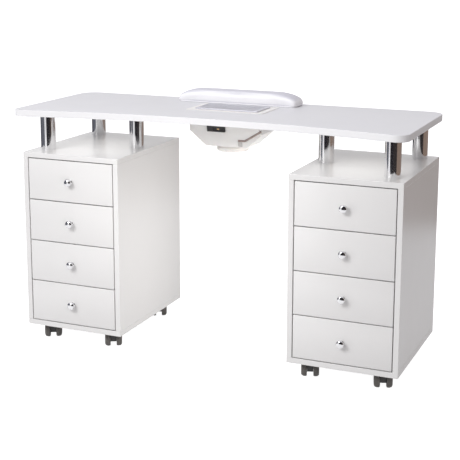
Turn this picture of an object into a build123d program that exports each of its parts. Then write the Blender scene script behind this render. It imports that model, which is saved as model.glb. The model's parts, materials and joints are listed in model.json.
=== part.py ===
from build123d import *
from math import atan2, cos, hypot, radians, sin, sqrt
import os

os.makedirs("parts", exist_ok=True)

# Manicure table: a top with a concave front edge on six posts, two drawer pedestals on twin-wheel
# casters, a dust extractor let into the top, and a loose wrist rest.
# Millimetres. +X runs along the table, +Y to the client's side, +Z up. The floor is at Z = 0.

# Tabletop
top_length = 1230
top_depth = 468
top_height = 750
top_thickness = 20
front_arc_rise = 64        # from the rounded front corners back to the arc's middle
front_corner_radius = 35
back_corner_radius = 50
top_edge_radius = 1.5

# Pedestals, built from laminated board
pedestal_width = 330
pedestal_depth = 430
pedestal_height = 556
end_overhang = 14          # the top beyond each pedestal's outer side
board = 16
back_board = 6
board_edge = 1             # rounding of the edge bands

# Drawers
drawer_count = 4
drawer_gap = 3
box_board = 12
box_bottom = 4
box_height = 92
box_length = 380
box_side_room = 13         # runner space on each side
box_lift = 12              # from the front's lower edge to the box
box_bottom_lift = 6
glue_line = 0.1            # between the drawer's boards, which stay separate solids
rail_height = 28
rail_web = 1.5
rail_lip = 2
rail_reach = 9
rail_length = 360
bar_slack = 0.4            # running clearance of the drawer's bar in its rail
bar_reach = 10
bar_height = rail_height - 2 * rail_lip - 2 * bar_slack
rail_lift = 30             # rail centre above the box's lower edge

# Drawer knobs
knob_diameter = 24
knob_projection = 22
knob_cap = 9               # height of the domed cap
knob_stem_radius = 5
knob_foot_radius = 7.5
knob_foot = 3
knob_rim = 2               # straight edge below the dome
knob_rim_bevel = 1

# Posts between the pedestals and the top
post_diameter = 46
post_wall = 1.5
outer_post_inset = 50      # from the pedestal's outer side
inner_post_inset = 43      # from the pedestal's inner side
front_post_y = -128
back_post_y = 190
inner_post_y = 12
bolt_radius = 4
bolt_hole_radius = 4.5
bolt_bite = 12             # depth of the bolts in the top
washer_radius = 14
washer_thickness = 2
nut_radius = 7.5
nut_height = 6.5
bolt_tail = 4              # thread showing below the nut

# Casters
caster_height = 58
caster_inset = 55
caster_trail = 15
caster_turns = {"left": 28, "right": 18}    # how far the casters stand turned, in degrees
wheel_radius = 25
wheel_width = 17
wheel_rim_round = 6
wheel_inner_round = 2
hub_recess_radius = 17
hub_recess = 3
hub_cap_radius = 8
hub_cap_depth = 1          # from the wheel's face
hub_slope = 1              # draft of the recess and the cap
axle_radius = 3
caster_body_width = 18
caster_body_slack = 0.5    # between the body and each wheel
caster_boss_radius = 12
caster_top_length = 34
caster_top_thickness = 6
caster_top_offset = 2      # the crown's middle, back from the stem
caster_plate_size = 50
caster_plate_thickness = 2.5
caster_plate_corner = 6
race_radius = 13
race_height = 5
stem_radius = 4
running_clearance = 0.05   # shafts in their bores
part_gap = 0.3             # between pieces that move past each other
screw_pitch = 36
screw_radius = 3.5
screw_head = 1.5

# Dust extractor in the tabletop
extractor_y = 49
flange_length = 250
flange_depth = 146
flange_thickness = 1.5
throat_length = 236
throat_depth = 132
throat_room = 1            # between the throat and the cut-out
cutout_corner = 2
flange_corner = 4
shell_wall = 2.5
chest_height = 45          # straight-sided part below the top
hopper_height = 45         # tapering part below it
chest_bottom_depth = 118
hopper_bottom_length = 136
hopper_bottom_depth = 104
grille_length = 204
grille_depth = 112
grille_thickness = 3.2
skirt_length = 196
skirt_depth = 104
skirt_height = 10
skirt_wall = 1.2
skirt_room = 1
grille_corner = 3
slot_length = 17
slot_width = 3
slot_pitch_x = 6.4
slot_pitch_y = 20
slot_columns = 29
slot_rows = 5
filter_room = 1.8
filter_thickness = 8
filter_corner = 4
collar_radius = 49
collar_height = 12
collar_round = 2
neck_radius = 44
neck_height = 5
collar_bore = 40
neck_room = 0.2
motor_radius = 19
motor_height = 34
motor_round = 3
motor_roof = 8             # metal left above the shaft's bore
spider_width = 8
spider_thickness = 3.5
spider_length = 120
spider_depth = 94
shaft_radius = 2.5
shaft_length = 34
hub_radius = 11
hub_height = 10
blade_count = 7
blade_length = 28
blade_width = 14
blade_thickness = 1.5
blade_pitch = 35
blade_root = 1             # how far the blades reach into the hub
cover_thickness = 3
cover_side_room = 6        # from the chest's ends
cover_top_room = 3         # from the chest's top
cover_foot_room = 4        # from the hopper's foot and its left edge
cover_bend = 1             # where the left edge turns in, up from the middle
cover_shoulder = 8         # where the right edge turns in
cover_step = (62, -22)     # outer corner of the step at the lower right
cover_notch_x = 40         # inner end of the step

# Switch on the extractor's front cover
bezel_length = 59
bezel_height = 36
bezel_depth = 6
bezel_corner = 2
bezel_x = -27.5
bezel_v = 21               # up the cover from its middle
rocker_x = -20
rocker_length = 30
rocker_height = 24
rocker_pocket = 26
rocker_side_room = 0.5
rocker_thickness = 5
rocker_pivot = 3.5         # out from the cover
rocker_tilt = 9            # how far each end presses in

# Power inlet on the extractor's back
inlet_x = 60
inlet_z = 712
inlet_length = 48
inlet_height = 27
inlet_y = 100
inlet_depth = 18
inlet_room = 0.2
socket_length = 24
socket_height = 16
socket_depth = 12

# Wrist rest, standing loose on the top
rest_x = -28
rest_y = 178
rest_length = 404
rest_depth = 86
rest_base_thickness = 4
rest_base_inset = 5
rest_base_corner = 14
rest_pad_height = 39
rest_pad_corner = 24
rest_pad_top_round = 15
rest_pad_bottom_round = 8

# Places worked out from the sizes above
half_length = top_length / 2
half_depth = top_depth / 2
corner_centre_x = half_length - front_corner_radius
corner_circles = (corner_centre_x**2 + front_arc_rise**2) / (2 * front_arc_rise)
front_radius = corner_circles - front_corner_radius
front_middle_y = front_arc_rise - half_depth
sharp_corner_y = front_middle_y - front_radius + sqrt(front_radius**2 - half_length**2)
underside_z = top_height - top_thickness
pedestal_front = half_depth - pedestal_depth
pedestal_x = half_length - end_overhang - pedestal_width / 2
pedestal_top = caster_height + pedestal_height
opening_width = pedestal_width - 2 * board
opening_height = pedestal_height - 2 * board
front_width = opening_width - 2 * drawer_gap
front_height = (opening_height - (drawer_count + 1) * drawer_gap) / drawer_count
front_back = pedestal_front + board
box_half = opening_width / 2 - box_side_room
cap_radius = knob_diameter / 2
cap_back = knob_cap - knob_projection
dome_foot = cap_back - knob_rim
dome_rise = knob_projection + dome_foot
dome_radius = (cap_radius**2 + dome_rise**2) / (2 * dome_rise)
dome_centre = dome_radius - knob_projection
chest_z = underside_z - chest_height
hopper_z = chest_z - hopper_height
collar_z = hopper_z - neck_height - collar_height
flange_top = top_height + flange_thickness
sides = {"left": -1, "right": 1}


def save(piece, label):
    """Name a finished piece and write it as one STEP file."""
    piece.part.label = label
    export_step(piece.part, f"parts/{label}.step")


def between(low, high):
    """A block between two corners, added to the part being built."""
    size = [b - a for a, b in zip(low, high)]
    with Locations(tuple((a + b) / 2 for a, b in zip(low, high))):
        Box(*size)


def save_board(label, low, high):
    """A board between two corners, with softly rounded edge bands."""
    with BuildPart() as panel:
        between(low, high)
        fillet(panel.edges(), board_edge)
    save(panel, label)


def post_spots(side):
    """Plan positions of one pedestal's three posts."""
    outer_x = side * (pedestal_x + pedestal_width / 2 - outer_post_inset)
    inner_x = side * (pedestal_x - pedestal_width / 2 + inner_post_inset)
    return [(outer_x, front_post_y), (outer_x, back_post_y), (inner_x, inner_post_y)]


def drawer_low(number):
    """Height of a drawer front's lower edge. Drawer 1 is the top one."""
    places_up = drawer_count - number
    return caster_height + board + drawer_gap + places_up * (front_height + drawer_gap)


all_posts = [spot for side in sides.values() for spot in post_spots(side)]

# Tabletop: straight back and ends, one concave arc along the front. The arc's radius puts the
# rounded front corners on the front line, with the arc's middle front_arc_rise behind it.
with BuildPart() as tabletop:
    with BuildSketch(Plane.XY.offset(underside_z)) as outline:
        front_left = (-half_length, sharp_corner_y)
        front_right = (half_length, sharp_corner_y)
        with BuildLine():
            ThreePointArc(front_left, (0, front_middle_y), front_right)
            Polyline(front_right, (half_length, half_depth), (-half_length, half_depth), front_left)
        make_face()
        fillet(outline.vertices().group_by(Axis.Y)[-1], back_corner_radius)
        fillet(outline.vertices().group_by(Axis.Y)[0], front_corner_radius)
    extrude(amount=top_thickness)
    fillet(tabletop.edges().group_by(Axis.Z)[0] + tabletop.edges().group_by(Axis.Z)[-1], top_edge_radius)
    with BuildSketch(Plane.XY.offset(underside_z)):
        with Locations((0, extractor_y)):
            RectangleRounded(throat_length + 2 * throat_room, throat_depth + 2 * throat_room, cutout_corner)
    extrude(amount=top_thickness, mode=Mode.SUBTRACT)
    with BuildSketch(Plane.XY.offset(underside_z)):
        with Locations(*all_posts):
            Circle(bolt_radius)
    extrude(amount=bolt_bite, mode=Mode.SUBTRACT)
save(tabletop, "tabletop")

# Posts: three plain tubes on each pedestal
for name, side in sides.items():
    with BuildPart() as posts:
        with BuildSketch(Plane.XY.offset(pedestal_top)):
            with Locations(*post_spots(side)):
                Circle(post_diameter / 2)
                Circle(post_diameter / 2 - post_wall, mode=Mode.SUBTRACT)
        extrude(amount=underside_z - pedestal_top)
    save(posts, f"{name}_posts")

# Post bolts: rods through the posts, each with a washer and a nut under the pedestal's top board
bolt_seat = pedestal_top - board
with BuildPart() as post_bolts:
    bolt_foot = bolt_seat - washer_thickness - nut_height - bolt_tail
    with BuildSketch(Plane.XY.offset(bolt_foot)):
        with Locations(*all_posts):
            Circle(bolt_radius)
    extrude(amount=underside_z + bolt_bite - bolt_foot)
    with BuildSketch(Plane.XY.offset(bolt_seat - washer_thickness)):
        with Locations(*all_posts):
            Circle(washer_radius)
    extrude(amount=washer_thickness)
    with BuildSketch(Plane.XY.offset(bolt_seat - washer_thickness - nut_height)):
        with Locations(*all_posts):
            RegularPolygon(nut_radius, 6)
    extrude(amount=nut_height)
save(post_bolts, "post_bolts")

# Pedestal carcasses: the top and bottom boards cover the sides, the back sits between them
for name, side in sides.items():
    outer_face = side * (pedestal_x + pedestal_width / 2)
    inner_face = side * (pedestal_x - pedestal_width / 2)
    side_low = caster_height + board
    side_high = pedestal_top - board
    for label, face, turn in (("outer", outer_face, -side), ("inner", inner_face, side)):
        x_low, x_high = sorted((face, face + turn * board))
        save_board(
            f"{name}_{label}_side",
            (x_low, pedestal_front, side_low),
            (x_high, half_depth, side_high),
        )
    x_low, x_high = sorted((outer_face, inner_face))
    save_board(
        f"{name}_bottom_panel",
        (x_low, pedestal_front, caster_height),
        (x_high, half_depth, side_low),
    )
    save_board(
        f"{name}_back_panel",
        (x_low + board, half_depth - back_board, side_low),
        (x_high - board, half_depth, side_high),
    )
    with BuildPart() as top_panel:
        between((x_low, pedestal_front, side_high), (x_high, half_depth, pedestal_top))
        fillet(top_panel.edges(), board_edge)
        with BuildSketch(Plane.XY.offset(side_high)):
            with Locations(*post_spots(side)):
                Circle(bolt_hole_radius)
        extrude(amount=board, mode=Mode.SUBTRACT)
    save(top_panel, f"{name}_top_panel")

# Fixed rails: C channels on the carcass sides, open towards the drawers
with BuildPart() as rails:
    for side in sides.values():
        for number in range(1, drawer_count + 1):
            rail_z = drawer_low(number) + box_lift + rail_lift
            for hand in (-1, 1):
                wall_x = side * pedestal_x + hand * opening_width / 2
                rail_start = Plane(
                    origin=(wall_x, front_back, rail_z), x_dir=(-hand, 0, 0), z_dir=(0, 1, 0)
                )
                with BuildSketch(rail_start):
                    with Locations((rail_reach / 2, 0)):
                        Rectangle(rail_reach, rail_height)
                    with Locations((rail_web + rail_reach / 2, 0)):
                        Rectangle(rail_reach, rail_height - 2 * rail_lip, mode=Mode.SUBTRACT)
                extrude(amount=rail_length)
save(rails, "drawer_rails")

# Drawers: front, two sides, back and bottom board, and a running bar on each side
for name, side in sides.items():
    for number in range(1, drawer_count + 1):
        x = side * pedestal_x
        low = drawer_low(number)
        box_z = low + box_lift
        box_end = front_back + box_length
        with BuildPart() as drawer:
            between((x - front_width / 2, pedestal_front, low),
                    (x + front_width / 2, front_back, low + front_height))
            fillet(drawer.edges(), board_edge)
            box_start = front_back + glue_line
            for hand in (-1, 1):
                wall_low, wall_high = sorted((hand * box_half, hand * (box_half - box_board)))
                between((x + wall_low, box_start, box_z), (x + wall_high, box_end, box_z + box_height))
                bar_foot = box_half + glue_line
                bar_low, bar_high = sorted((hand * bar_foot, hand * (bar_foot + bar_reach)))
                bar_z = box_z + rail_lift - bar_height / 2
                between((x + bar_low, box_start, bar_z),
                        (x + bar_high, front_back + rail_length, bar_z + bar_height))
            inside = box_half - box_board - glue_line
            between((x - inside, box_end - box_board, box_z), (x + inside, box_end, box_z + box_height))
            between((x - inside, box_start, box_z + box_bottom_lift),
                    (x + inside, box_end - box_board - glue_line, box_z + box_bottom_lift + box_bottom))
        save(drawer, f"{name}_drawer_{number}")

        knob_seat = Plane(
            origin=(x, pedestal_front, low + front_height / 2), x_dir=(1, 0, 0), z_dir=(0, 0, 1)
        )
        with BuildPart() as knob:
            with BuildSketch(knob_seat):
                with BuildLine():
                    Polyline(
                        (0, -knob_projection), (0, 0), (knob_foot_radius, 0),
                        (knob_foot_radius, -knob_foot), (knob_stem_radius, -2 * knob_foot),
                        (knob_stem_radius, cap_back), (cap_radius - knob_rim_bevel, cap_back),
                        (cap_radius, dome_foot),
                    )
                    ThreePointArc(
                        (cap_radius, dome_foot),
                        (cap_radius / 2, dome_centre - sqrt(dome_radius**2 - cap_radius**2 / 4)),
                        (0, -knob_projection),
                    )
                make_face()
            revolve(axis=Axis(knob_seat.origin, (0, 1, 0)))
        save(knob, f"{name}_knob_{number}")


def caster_spots():
    """Name, x, y and turn of each of the eight casters."""
    rows = {"front": pedestal_front + caster_inset, "back": half_depth - caster_inset}
    columns = {
        "outer": pedestal_x + pedestal_width / 2 - caster_inset,
        "inner": pedestal_x - pedestal_width / 2 + caster_inset,
    }
    for name, side in sides.items():
        for row, y in rows.items():
            for column, x in columns.items():
                yield f"{name}_{row}_{column}", side * x, y, radians(caster_turns[name])


# Caster plates: a screwed plate with the swivel race below it
plate_low = caster_height - caster_plate_thickness
race_low = plate_low - race_height
with BuildPart() as caster_plates:
    places = [(x, y) for label, x, y, turn in caster_spots()]
    with BuildSketch(Plane.XY.offset(plate_low)):
        with Locations(*places):
            RectangleRounded(caster_plate_size, caster_plate_size, caster_plate_corner)
    extrude(amount=caster_plate_thickness)
    with BuildSketch(Plane.XY.offset(race_low)):
        with Locations(*places):
            Circle(race_radius)
    extrude(amount=race_height)
    with BuildSketch(Plane.XY.offset(plate_low - screw_head)):
        with Locations(*places):
            with GridLocations(screw_pitch, screw_pitch, 2, 2):
                Circle(screw_radius)
    extrude(amount=screw_head)
    with BuildSketch(Plane.XY.offset(race_low)):
        with Locations(*places):
            Circle(stem_radius + running_clearance)
    extrude(amount=race_height + caster_plate_thickness, mode=Mode.SUBTRACT)
save(caster_plates, "caster_plates")

# Casters: a swivelling body with its stem, and a pair of wheels on one axle
body_top = race_low - part_gap
for label, x, y, turn in caster_spots():
    along_axle = (cos(turn), sin(turn), 0)
    middle = Plane(origin=(x, y, 0), x_dir=(-sin(turn), cos(turn), 0), z_dir=along_axle)
    with BuildPart() as caster_body:
        with BuildSketch(middle):
            with Locations((caster_trail, wheel_radius)):
                Circle(caster_boss_radius)
            with Locations((caster_top_offset, body_top - caster_top_thickness / 2)):
                Rectangle(caster_top_length, caster_top_thickness)
            make_hull()
            with Locations((caster_trail, wheel_radius)):
                Circle(axle_radius + running_clearance, mode=Mode.SUBTRACT)
        extrude(amount=caster_body_width / 2, both=True)
        with BuildSketch(Plane(origin=(x, y, body_top))):
            Circle(stem_radius)
        extrude(amount=caster_height - part_gap - body_top)
    save(caster_body, f"caster_body_{label}")

    axle_middle = (x - caster_trail * sin(turn), y + caster_trail * cos(turn), wheel_radius)
    axle = Plane(origin=axle_middle, x_dir=along_axle, z_dir=(sin(turn), -cos(turn), 0))
    inner = caster_body_width / 2 + caster_body_slack
    outer = inner + wheel_width
    floor_of_recess = outer - hub_recess
    cap_face = outer - hub_cap_depth
    with BuildPart() as wheels:
        with BuildSketch(axle) as profile:
            with BuildLine():
                Polyline(
                    (0, 0), (0, axle_radius), (inner, axle_radius), (inner, wheel_radius),
                    (outer, wheel_radius), (outer, hub_recess_radius + hub_slope),
                    (floor_of_recess, hub_recess_radius - hub_slope),
                    (floor_of_recess, hub_cap_radius + hub_slope),
                    (cap_face, hub_cap_radius), (cap_face, 0), close=True,
                )
            make_face()
            rim = profile.vertices().group_by(Axis.Y)[-1].sort_by(Axis.X)
            fillet(rim[-1], wheel_rim_round)
            rim = profile.vertices().group_by(Axis.Y)[-1].sort_by(Axis.X)
            fillet(rim[0], wheel_inner_round)
            mirror(about=Plane.YZ)
        revolve(axis=Axis(axle.origin, along_axle))
    save(wheels, f"wheels_{label}")


# Extractor body: flange, throat through the top, straight chest and tapering hopper
with BuildPart() as extractor_body:
    for wall, mode in ((0, Mode.ADD), (shell_wall, Mode.SUBTRACT)):
        top_section = (underside_z, throat_length, throat_depth)
        chest_section = (chest_z, throat_length, chest_bottom_depth)
        hopper_section = (hopper_z + wall, hopper_bottom_length, hopper_bottom_depth)
        for pair in ((top_section, chest_section), (chest_section, hopper_section)):
            for height, length, depth in pair:
                with BuildSketch(Plane(origin=(0, extractor_y, height))):
                    Rectangle(length - 2 * wall, depth - 2 * wall)
            loft(ruled=True, mode=mode)
        with BuildSketch(Plane(origin=(0, extractor_y, underside_z))):
            Rectangle(throat_length - 2 * wall, throat_depth - 2 * wall)
        extrude(amount=top_thickness, mode=mode)
    with BuildSketch(Plane(origin=(0, extractor_y, top_height))):
        RectangleRounded(flange_length, flange_depth, flange_corner)
        Rectangle(skirt_length + 2 * skirt_room, skirt_depth + 2 * skirt_room, mode=Mode.SUBTRACT)
    extrude(amount=flange_thickness)
    with BuildSketch(Plane(origin=(0, extractor_y, hopper_z))):
        Circle(neck_radius + neck_room)
    extrude(amount=shell_wall, mode=Mode.SUBTRACT)
    inlet_hole = (inlet_length + 2 * inlet_room, inlet_depth, inlet_height + 2 * inlet_room)
    with Locations((inlet_x, inlet_y + inlet_depth / 2, inlet_z)):
        Box(*inlet_hole, mode=Mode.SUBTRACT)
save(extractor_body, "extractor_body")

# The front of the chest and hopper is one plane, leaning out towards the top
lean_run = (throat_depth - hopper_bottom_depth) / 2
lean_rise = chest_height + hopper_height
lean = atan2(lean_run, lean_rise)
face_y = extractor_y - (throat_depth + hopper_bottom_depth) / 4
face_half = hypot(lean_run, lean_rise) / 2
out_of_face = (0, -cos(lean), -sin(lean))
front_face = Plane(origin=(0, face_y, chest_z), x_dir=(1, 0, 0), z_dir=out_of_face)
cover_face = front_face.offset(cover_thickness)

# Front cover: stepped at its lower right, where it clears the outlet's bracket
cover_half = throat_length / 2 - cover_side_room
cover_top = face_half - cover_top_room
cover_foot = cover_foot_room - face_half
with BuildPart() as front_cover:
    with BuildSketch(front_face):
        Polygon(
            (-cover_half, cover_top), (-cover_half, cover_bend),
            (cover_foot_room - hopper_bottom_length / 2, cover_foot),
            (cover_notch_x, cover_foot), (cover_notch_x, cover_step[1]), cover_step,
            (cover_half, cover_shoulder), (cover_half, cover_top),
            align=None,
        )
    extrude(amount=cover_thickness)
save(front_cover, "extractor_front_cover")

# Switch bezel and rocker on the cover
with BuildPart() as bezel:
    with BuildSketch(cover_face):
        with Locations((bezel_x, bezel_v)):
            RectangleRounded(bezel_length, bezel_height, bezel_corner)
        with Locations((rocker_x, bezel_v)):
            Rectangle(rocker_length + 2 * rocker_side_room, rocker_pocket, mode=Mode.SUBTRACT)
    extrude(amount=bezel_depth)
save(bezel, "switch_bezel")

rocker_angle = lean + radians(rocker_tilt)
pivot = cover_face.offset(rocker_pivot).from_local_coords(Vector(rocker_x, bezel_v, 0))
rocker_plane = Plane(
    origin=pivot, x_dir=(0, -sin(rocker_angle), cos(rocker_angle)), z_dir=(1, 0, 0)
)
rocker_half = rocker_height / 2
rocker_back = rocker_thickness - rocker_pivot
with BuildPart() as rocker:
    with BuildSketch(rocker_plane):
        dip = rocker_half * sin(radians(rocker_tilt))
        Polygon(
            (-rocker_half, -rocker_back), (rocker_half, -rocker_back),
            (rocker_half, rocker_pivot), (0, rocker_pivot - dip), (-rocker_half, rocker_pivot),
            align=None,
        )
    extrude(amount=rocker_length / 2, both=True)
save(rocker, "switch_rocker")

# Grille tray: a slotted plate over a locating skirt
plate_z = flange_top + part_gap
with BuildPart() as grille:
    with BuildSketch(Plane(origin=(0, extractor_y, plate_z))):
        RectangleRounded(grille_length, grille_depth, grille_corner)
        with GridLocations(slot_pitch_x, slot_pitch_y, slot_columns, slot_rows):
            SlotOverall(slot_length, slot_width, rotation=90, mode=Mode.SUBTRACT)
    extrude(amount=grille_thickness)
    with BuildSketch(Plane(origin=(0, extractor_y, plate_z - skirt_height))):
        Rectangle(skirt_length, skirt_depth)
        Rectangle(skirt_length - 2 * skirt_wall, skirt_depth - 2 * skirt_wall, mode=Mode.SUBTRACT)
    extrude(amount=skirt_height)
save(grille, "extractor_grille")

with BuildPart() as filter_pad:
    with BuildSketch(Plane(origin=(0, extractor_y, plate_z - filter_thickness))):
        RectangleRounded(
            skirt_length - 2 * filter_room, skirt_depth - 2 * filter_room, filter_corner
        )
    extrude(amount=filter_thickness)
save(filter_pad, "extractor_filter")

# Outlet collar with a short neck into the hopper's floor
with BuildPart() as collar:
    with BuildSketch(Plane(origin=(0, extractor_y, collar_z))):
        Circle(collar_radius)
    extrude(amount=collar_height)
    fillet(collar.edges().group_by(Axis.Z)[0], collar_round)
    with BuildSketch(Plane(origin=(0, extractor_y, collar_z + collar_height))):
        Circle(neck_radius)
    extrude(amount=neck_height + shell_wall)
    with BuildSketch(Plane(origin=(0, extractor_y, collar_z))):
        Circle(collar_bore)
    extrude(amount=collar_height + neck_height + shell_wall, mode=Mode.SUBTRACT)
save(collar, "extractor_collar")

# Fan motor on a four-armed spider, and the impeller on its shaft inside the collar
motor_z = hopper_z + shell_wall
impeller_middle = collar_z + collar_height / 2
with BuildPart() as motor:
    with BuildSketch(Plane(origin=(0, extractor_y, motor_z))):
        Rectangle(spider_length, spider_width)
        Rectangle(spider_width, spider_depth)
    extrude(amount=spider_thickness)
    with BuildSketch(Plane(origin=(0, extractor_y, motor_z))):
        Circle(motor_radius)
    extrude(amount=motor_height)
    fillet(motor.edges().group_by(Axis.Z)[-1], motor_round)
    with BuildSketch(Plane(origin=(0, extractor_y, motor_z))):
        Circle(shaft_radius + running_clearance)
    extrude(amount=motor_height - motor_roof, mode=Mode.SUBTRACT)
save(motor, "fan_motor")

with BuildPart() as impeller:
    with BuildSketch(Plane(origin=(0, extractor_y, impeller_middle - hub_height / 2))):
        Circle(hub_radius)
    extrude(amount=hub_height)
    with BuildSketch(Plane(origin=(0, extractor_y, impeller_middle))):
        Circle(shaft_radius)
    extrude(amount=shaft_length)
    with Locations((0, extractor_y, impeller_middle)):
        with PolarLocations(hub_radius + blade_length / 2 - blade_root, blade_count):
            Box(blade_length, blade_width, blade_thickness, rotation=(blade_pitch, 0, 0))
save(impeller, "fan_impeller")

# Power inlet through the back wall, with a plain socket
with BuildPart() as inlet:
    with Locations((inlet_x, inlet_y + inlet_depth / 2, inlet_z)):
        Box(inlet_length, inlet_depth, inlet_height)
    with Locations((inlet_x, inlet_y + inlet_depth - socket_depth / 2, inlet_z)):
        Box(socket_length, socket_depth, socket_height, mode=Mode.SUBTRACT)
save(inlet, "power_inlet")

# Wrist rest: a padded roll on a thin base board
rest_z = top_height + part_gap
with BuildPart() as rest_base:
    with BuildSketch(Plane(origin=(rest_x, rest_y, rest_z))):
        RectangleRounded(
            rest_length - 2 * rest_base_inset, rest_depth - 2 * rest_base_inset, rest_base_corner
        )
    extrude(amount=rest_base_thickness)
save(rest_base, "wrist_rest_base")

with BuildPart() as rest_pad:
    with BuildSketch(Plane(origin=(rest_x, rest_y, rest_z + rest_base_thickness))):
        RectangleRounded(rest_length, rest_depth, rest_pad_corner)
    extrude(amount=rest_pad_height)
    fillet(rest_pad.edges().group_by(Axis.Z)[-1], rest_pad_top_round)
    fillet(rest_pad.edges().group_by(Axis.Z)[0], rest_pad_bottom_round)
save(rest_pad, "wrist_rest_pad")
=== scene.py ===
import json
import math
import bmesh
import bpy
import numpy as np
from mathutils import Matrix, Vector


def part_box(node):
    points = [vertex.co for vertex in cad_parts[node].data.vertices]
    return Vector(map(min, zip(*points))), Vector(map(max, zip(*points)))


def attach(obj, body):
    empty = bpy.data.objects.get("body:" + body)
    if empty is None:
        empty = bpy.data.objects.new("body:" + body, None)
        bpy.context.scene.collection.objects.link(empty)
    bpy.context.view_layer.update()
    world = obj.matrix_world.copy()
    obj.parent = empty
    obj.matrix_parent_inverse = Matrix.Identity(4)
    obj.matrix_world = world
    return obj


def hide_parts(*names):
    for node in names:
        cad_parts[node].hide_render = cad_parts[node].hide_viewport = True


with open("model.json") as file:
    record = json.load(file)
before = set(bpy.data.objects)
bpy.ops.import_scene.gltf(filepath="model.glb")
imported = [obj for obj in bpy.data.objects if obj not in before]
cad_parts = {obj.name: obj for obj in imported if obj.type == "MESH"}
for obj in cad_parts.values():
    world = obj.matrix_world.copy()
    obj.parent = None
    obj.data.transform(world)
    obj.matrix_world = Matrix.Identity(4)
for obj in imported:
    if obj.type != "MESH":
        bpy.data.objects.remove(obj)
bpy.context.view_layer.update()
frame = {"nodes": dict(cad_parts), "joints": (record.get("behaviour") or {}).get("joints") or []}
nodes = frame["nodes"]
scene = bpy.context.scene
sides = {"left": -1, "right": 1}
print("frame loaded:", len(nodes), "nodes")

# The camera looks along a heading turned from +Y towards -X, tipped down, with a small roll.
cameraValues = {
    "place": (1.3128, -3.0815, 1.2359),
    "heading": -0.3997,
    "tipDown": 0.1969,
    "roll": 0.0018,
    "lens": 87.54,
    "shiftDown": -0.1304,
    "sensorWidth": 36,
    "clipEnd": 200,
}


def addCamera(values):
    heading, tip, roll = values["heading"], values["tipDown"], values["roll"]
    forward = Vector((math.sin(heading) * math.cos(tip), math.cos(heading) * math.cos(tip),
                      -math.sin(tip)))
    level = Vector((math.cos(heading), -math.sin(heading), 0))
    rise = level.cross(forward)
    right = level * math.cos(roll) + rise * math.sin(roll)
    up = rise * math.cos(roll) - level * math.sin(roll)
    camera = bpy.data.objects.new("camera", bpy.data.cameras.new("camera"))
    turn = Matrix((right, up, -forward)).transposed().to_4x4()
    camera.matrix_world = Matrix.Translation(values["place"]) @ turn
    camera.data.sensor_width = values["sensorWidth"]
    camera.data.lens = values["lens"]
    camera.data.shift_y = values["shiftDown"]
    camera.data.clip_end = values["clipEnd"]
    scene.collection.objects.link(camera)
    scene.camera = camera


# Name: place, aim, width, height, power, colour. No light is seen, and a Fill isn't mirrored either.
lightValues = {
    "keySoftbox": ((-0.9, -2.7, 2.35), (0.0, 0.0, 0.65), 1.5, 1.1, 56, (1.0, 1.0, 1.0)),
    "overheadFill": ((0.2, 0.1, 3.6), (0.0, 0.0, 0.7), 3.0, 2.0, 8, (0.97, 0.97, 1.0)),
    "extractorFill": ((-0.03, -0.55, 0.42), (-0.03, 0.0, 0.66), 0.2, 0.2, 0.5, (1.0, 0.985, 0.97)),
    "innerFill": ((0.22, -0.02, 0.33), (-0.27, -0.02, 0.33), 0.36, 0.50, 1.3, (1.0, 0.985, 0.965)),
    "leftShelfFill": ((-0.435, -0.05, 0.700), (-0.435, -0.05, 0.0), 0.26, 0.30, 0.15,
                      (1.0, 0.99, 0.965)),
    "rightShelfFill": ((0.435, -0.05, 0.700), (0.435, -0.05, 0.0), 0.26, 0.30, 0.15,
                       (1.0, 0.99, 0.965)),
}


def addLight(name, place, aim, width, height, power, colour):
    lamp = bpy.data.lights.new(name, "AREA")
    lamp.shape = "RECTANGLE"
    lamp.size, lamp.size_y, lamp.energy, lamp.color = width, height, power, colour
    light = bpy.data.objects.new(name, lamp)
    light.location = place
    light.rotation_euler = (Vector(aim) - Vector(place)).to_track_quat("-Z", "Y").to_euler()
    light.visible_camera = False
    light.visible_glossy = not name.endswith("Fill")
    scene.collection.objects.link(light)


# A node with its settings; an input given a socket is linked, any other input is set.
def addNode(tree, kind, inputs=None, **settings):
    made = tree.nodes.new("ShaderNode" + kind)
    for key, value in settings.items():
        setattr(made, key, value)
    for key, value in (inputs or {}).items():
        if isinstance(value, bpy.types.NodeSocket):
            tree.links.new(value, made.inputs[key])
        else:
            made.inputs[key].default_value = value
    return made


worldValues = {
    "fromLeft": (0.93, 0.93, 0.945, 1),
    "fromRight": (0.42, 0.37, 0.342, 1),
    "overhead": (0.74, 0.74, 0.79, 1),
    "seen": (1.0, 1.0, 1.0, 1),
    "fade": (-0.8, 0.8),
    "rise": (0.30, 0.95),
}


# The surroundings fade from bright on the left to dimmer on the right, and are dimmer overhead; the
# backdrop itself is white.
def addWorld(values):
    world = bpy.data.worlds.new("studio")
    scene.world = world
    world.use_nodes = True
    tree = world.node_tree
    tree.nodes.clear()
    direction = addNode(tree, "TexCoord")
    across = addNode(tree, "SeparateXYZ", {0: direction.outputs["Generated"]})
    start, end = values["fade"]
    share = addNode(tree, "MapRange", {"Value": across.outputs["X"], "From Min": start, "From Max": end})
    tint = addNode(tree, "Mix", {0: share.outputs[0], 6: values["fromLeft"], 7: values["fromRight"]},
                   data_type="RGBA")
    start, end = values["rise"]
    rise = addNode(tree, "MapRange", {"Value": across.outputs["Z"], "From Min": start, "From Max": end})
    dome = addNode(tree, "Mix", {0: rise.outputs[0], 6: tint.outputs[2], 7: values["overhead"]},
                   data_type="RGBA")
    soft = addNode(tree, "Background", {"Color": dome.outputs[2], "Strength": 1.0})
    white = addNode(tree, "Background", {"Color": values["seen"], "Strength": 1.0})
    ray = addNode(tree, "LightPath")
    both = addNode(tree, "MixShader", {0: ray.outputs["Is Camera Ray"], 1: soft.outputs[0],
                                       2: white.outputs[0]})
    addNode(tree, "OutputWorld", {"Surface": both.outputs[0]})


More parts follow.
